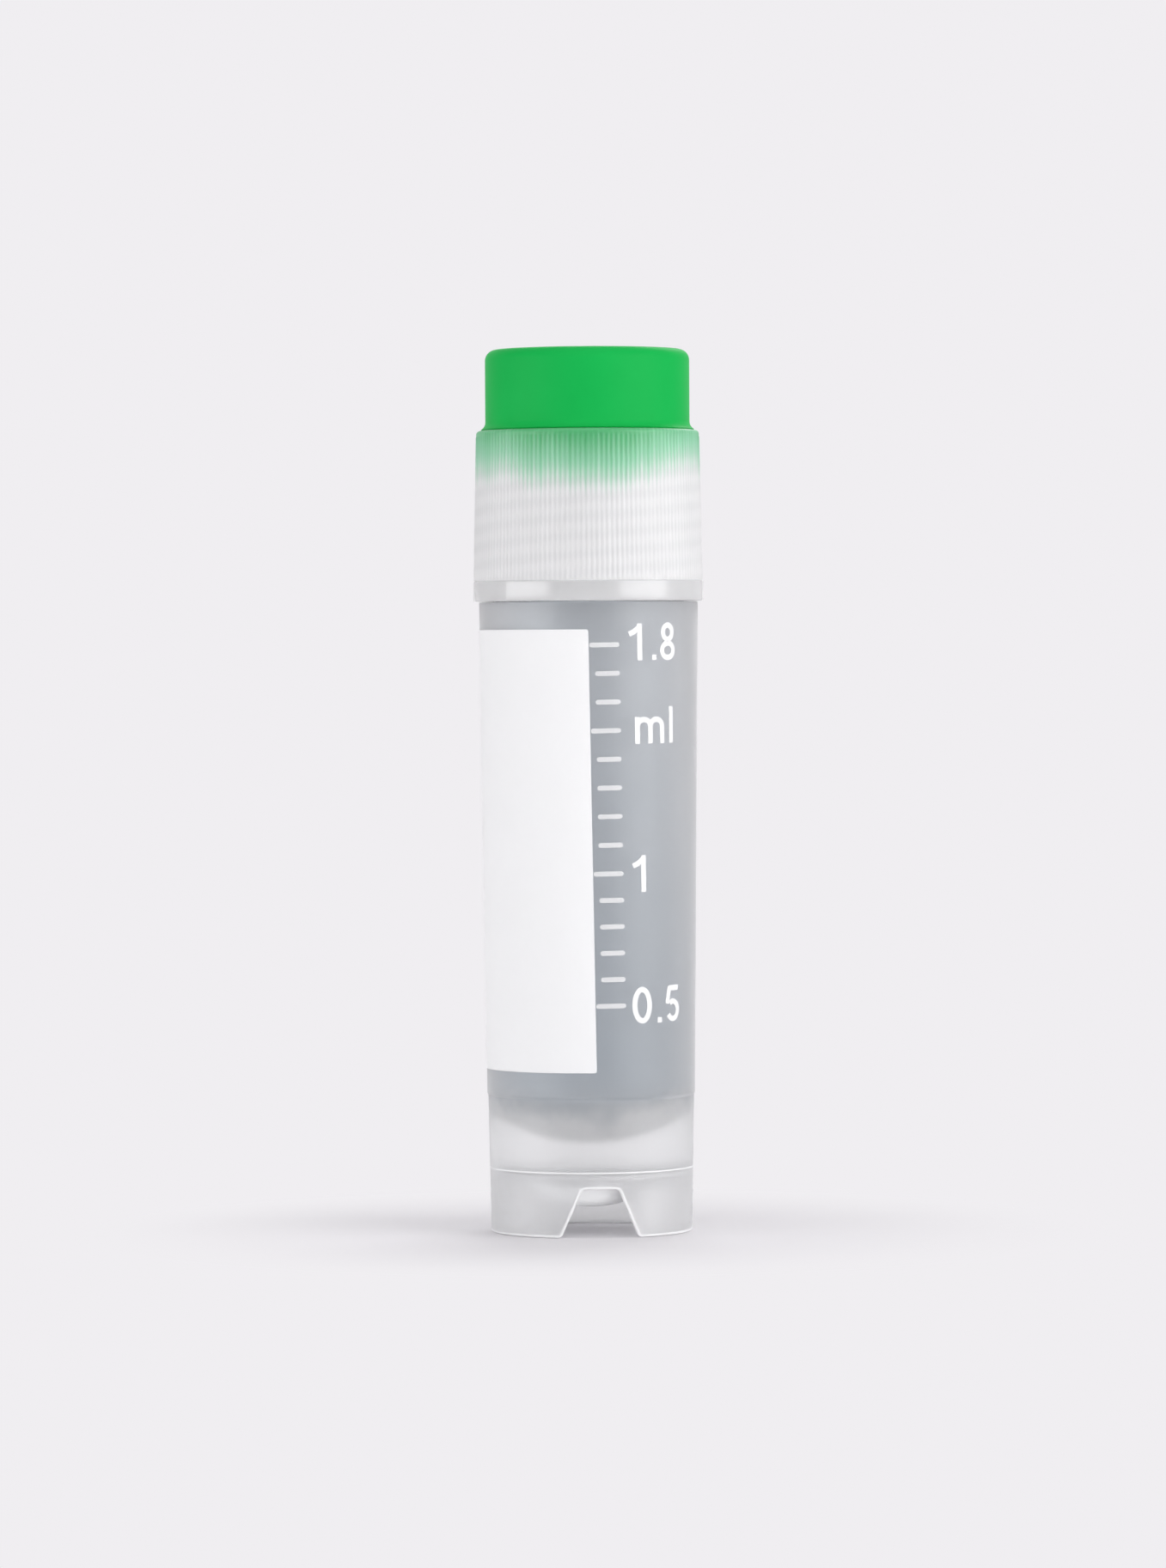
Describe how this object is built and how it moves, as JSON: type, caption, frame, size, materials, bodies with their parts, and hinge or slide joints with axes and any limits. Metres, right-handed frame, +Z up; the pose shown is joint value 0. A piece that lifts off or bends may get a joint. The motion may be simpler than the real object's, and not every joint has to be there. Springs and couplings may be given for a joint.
{
  "type": "screw-cap sample vial",
  "caption": "Self-standing screw-cap sample vial with a notched foot skirt, a ribbed translucent cap, a coloured cap insert, a writing patch and a volume scale.",
  "frame": {"origin": "on the vial's axis, at the bottom of the foot skirt", "axes": "+Z up along the axis from the foot to the cap; the writing patch's upright edge and the volume scale face -Y"},
  "size_m": [0.0124, 0.0124, 0.0479],
  "materials": {
    "tube": "translucent natural polypropylene, satin",
    "cap": "translucent natural polypropylene, satin, finely ribbed",
    "insert": "green moulded polypropylene, satin",
    "washer": "white silicone",
    "ink": "matt white print"
  },
  "bodies": {
    "vial": {"vial_tube": "tube", "writing_patch": "ink", "graduation_marks": "ink"},
    "washer": {"seal_washer": "washer"},
    "cap": {"cap_shell": "cap", "cap_insert": "insert"}
  },
  "joints": [
    {"name": "cap_lift", "type": "slide", "parent": "vial", "child": "washer", "axis": [0, 0, 1], "range_m": [0, 0.012]},
    {"name": "cap_turn", "type": "hinge", "parent": "washer", "child": "cap", "pos_m": [0, 0, 0.0408], "axis": [0, 0, 1], "range_deg": [0, 1445]}
  ],
  "couplings": [
    {"joint": "cap_turn", "follows": "cap_lift", "rad_per_m": 2094.4}
  ]
}
